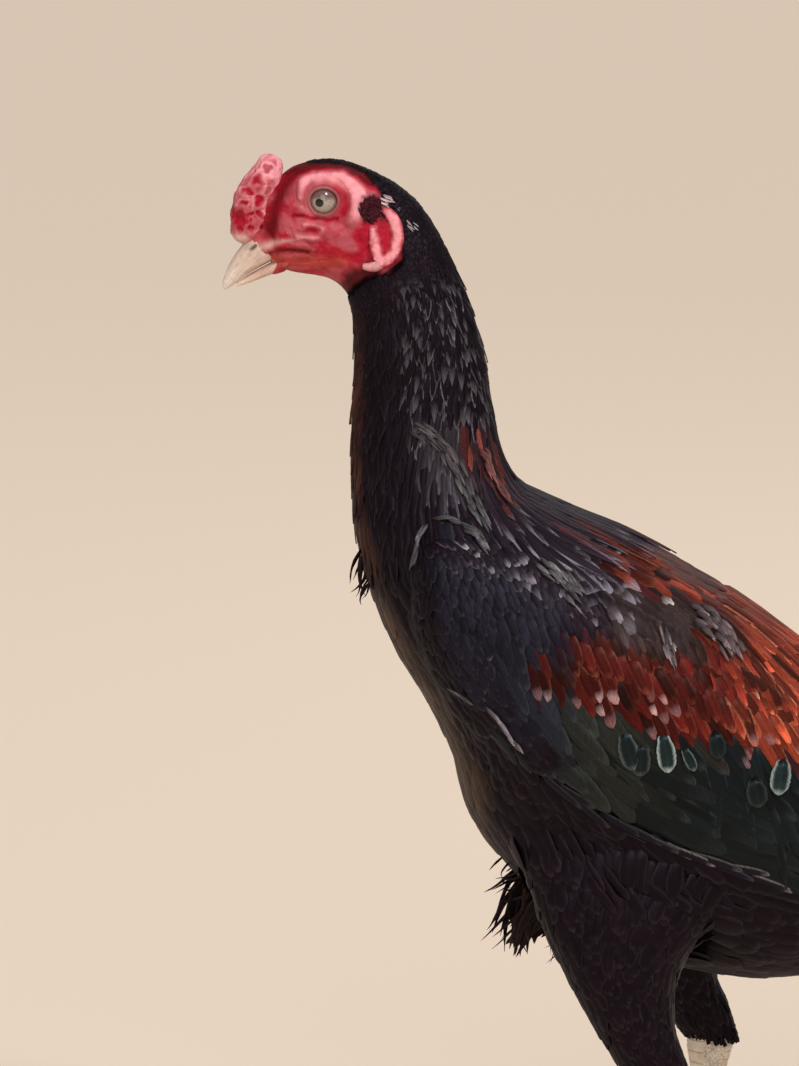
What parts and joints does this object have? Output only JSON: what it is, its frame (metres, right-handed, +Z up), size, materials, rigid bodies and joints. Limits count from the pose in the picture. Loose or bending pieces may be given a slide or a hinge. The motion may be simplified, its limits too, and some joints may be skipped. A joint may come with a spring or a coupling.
{
  "type": "aseel rooster",
  "caption": "Life-size still model of a standing Aseel rooster: lumpy pea comb, long upright neck, folded wings, low tail, spurred bare shanks and spread toes.",
  "frame": {"origin": "on the floor, under the middle of the bird's bounding box", "axes": "+Z up; the bird faces -X; its left side is -Y"},
  "size_m": [0.5707, 0.1814, 0.6046],
  "materials": {
    "skin_red": "satin, lumpy bare skin",
    "bill_horn": "smooth pale horn",
    "eye_glass": "wet gloss, pale iris with a dark pupil",
    "plumage_black": "close black feathers with a violet and blue sheen",
    "plumage_red": "mahogany red feathers",
    "plumage_green": "glossy green-black feathers",
    "leg_scales": "pale overlapping scales",
    "claw_horn": "worn pale horn"
  },
  "bodies": {
    "root": {"bill_lower": "bill_horn", "bill_upper": "bill_horn", "claw_back_left": "claw_horn", "claw_back_right": "claw_horn", "claw_inner_left": "claw_horn", "claw_inner_right": "claw_horn", "claw_middle_left": "claw_horn", "claw_middle_right": "claw_horn", "claw_outer_left": "claw_horn", "claw_outer_right": "claw_horn", "comb": "skin_red", "earlobe_left": "skin_red", "earlobe_right": "skin_red", "eye_left": "eye_glass", "eye_right": "eye_glass", "head": "skin_red", "neck_lower": "plumage_black", "neck_upper": "plumage_black", "shank_left": "leg_scales", "shank_right": "leg_scales", "spur_left": "claw_horn", "spur_right": "claw_horn", "tail": "plumage_green", "thigh_left": "plumage_black", "thigh_right": "plumage_black", "toe_back_left": "leg_scales", "toe_back_right": "leg_scales", "toe_inner_left": "leg_scales", "toe_inner_right": "leg_scales", "toe_middle_left": "leg_scales", "toe_middle_right": "leg_scales", "toe_outer_left": "leg_scales", "toe_outer_right": "leg_scales", "torso": "plumage_black", "wing_left": "plumage_red", "wing_right": "plumage_red"}
  },
  "joints": []
}
